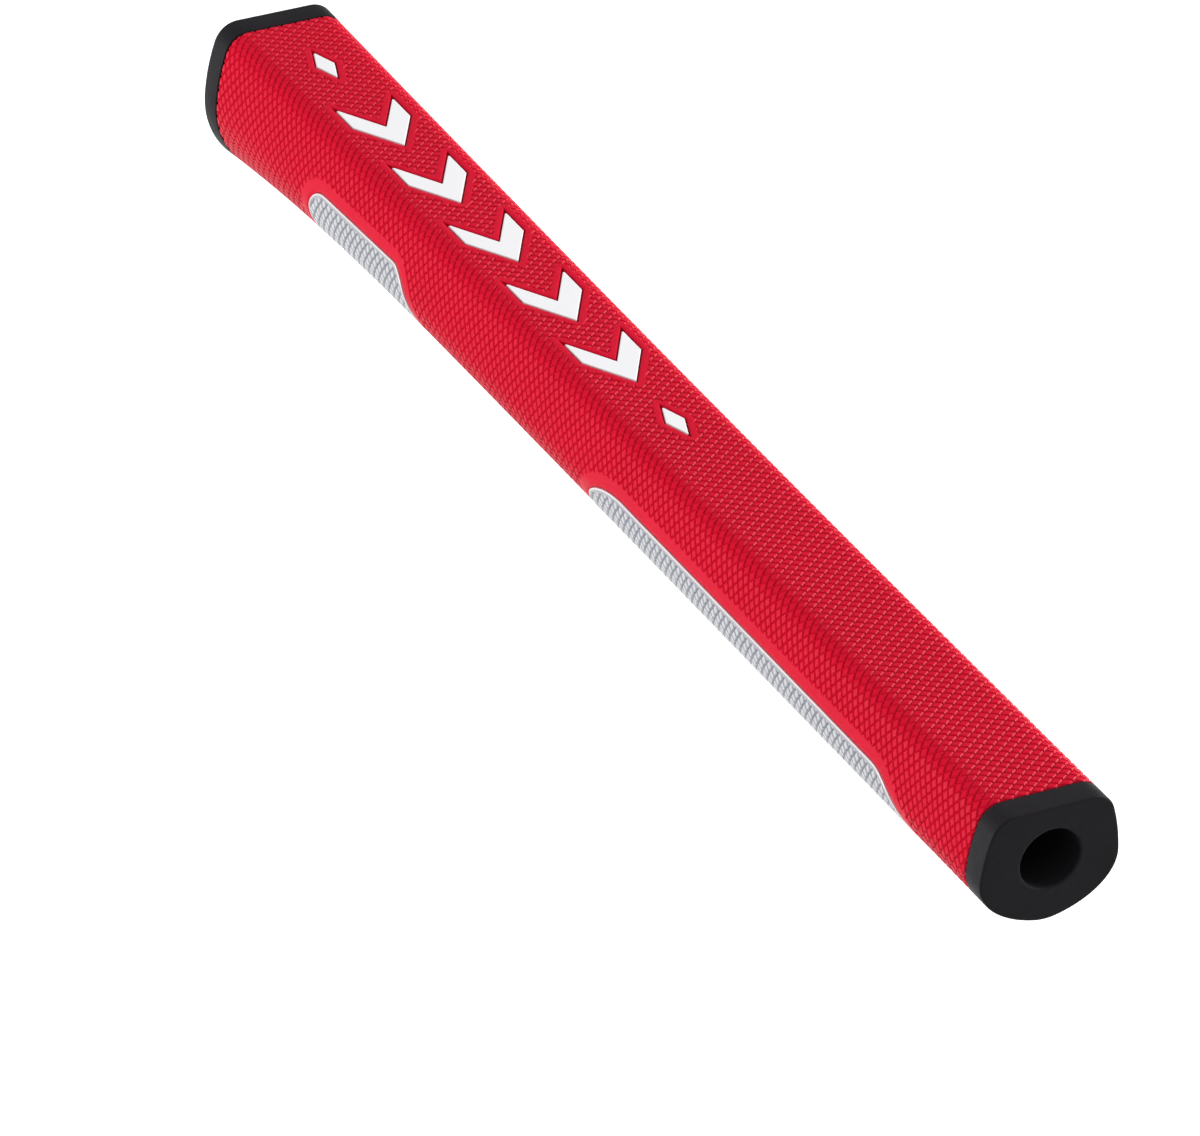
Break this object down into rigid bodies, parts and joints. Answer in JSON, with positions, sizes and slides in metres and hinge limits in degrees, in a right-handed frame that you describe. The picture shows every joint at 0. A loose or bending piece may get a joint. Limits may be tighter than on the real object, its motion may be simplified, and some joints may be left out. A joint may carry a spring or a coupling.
{
  "type": "golf putter grip",
  "caption": "Pistol-shaped putter grip: foam core with a shaft bore, embossed red cover, grey side panels, white face marks and black rubber end caps.",
  "frame": {"origin": "on the bore's axis, at the point where the end of the shaft stops against the butt cap's plug", "axes": "+X along the shaft bore, out of the mouth; +Z towards the flat paddle face; +Y to the left for someone looking along +X with the paddle face up"},
  "size_m": [0.267, 0.0256, 0.0296],
  "materials": {
    "core_foam": "closed-cell foam, matt",
    "backing_felt": "non-woven felt",
    "cover_red": "satin polyurethane, embossed with small diamonds",
    "seam_red": "satin sealed seam",
    "cap_rubber": "smooth satin black rubber",
    "panel_grey": "satin silver-grey polyurethane, woven emboss",
    "mark_white": "smooth white fill"
  },
  "bodies": {
    "root": {"foam_core": "core_foam", "cover_backing": "backing_felt", "pu_cover": "cover_red", "seam_strip": "seam_red", "butt_cap": "cap_rubber", "mouth_cap": "cap_rubber", "panel_left_upper": "panel_grey", "panel_left_lower": "panel_grey", "panel_right_upper": "panel_grey", "panel_right_lower": "panel_grey", "diamond_butt": "mark_white", "diamond_mouth": "mark_white", "chevron_1": "mark_white", "chevron_2": "mark_white", "chevron_3": "mark_white", "chevron_4": "mark_white", "chevron_5": "mark_white"}
  },
  "joints": []
}
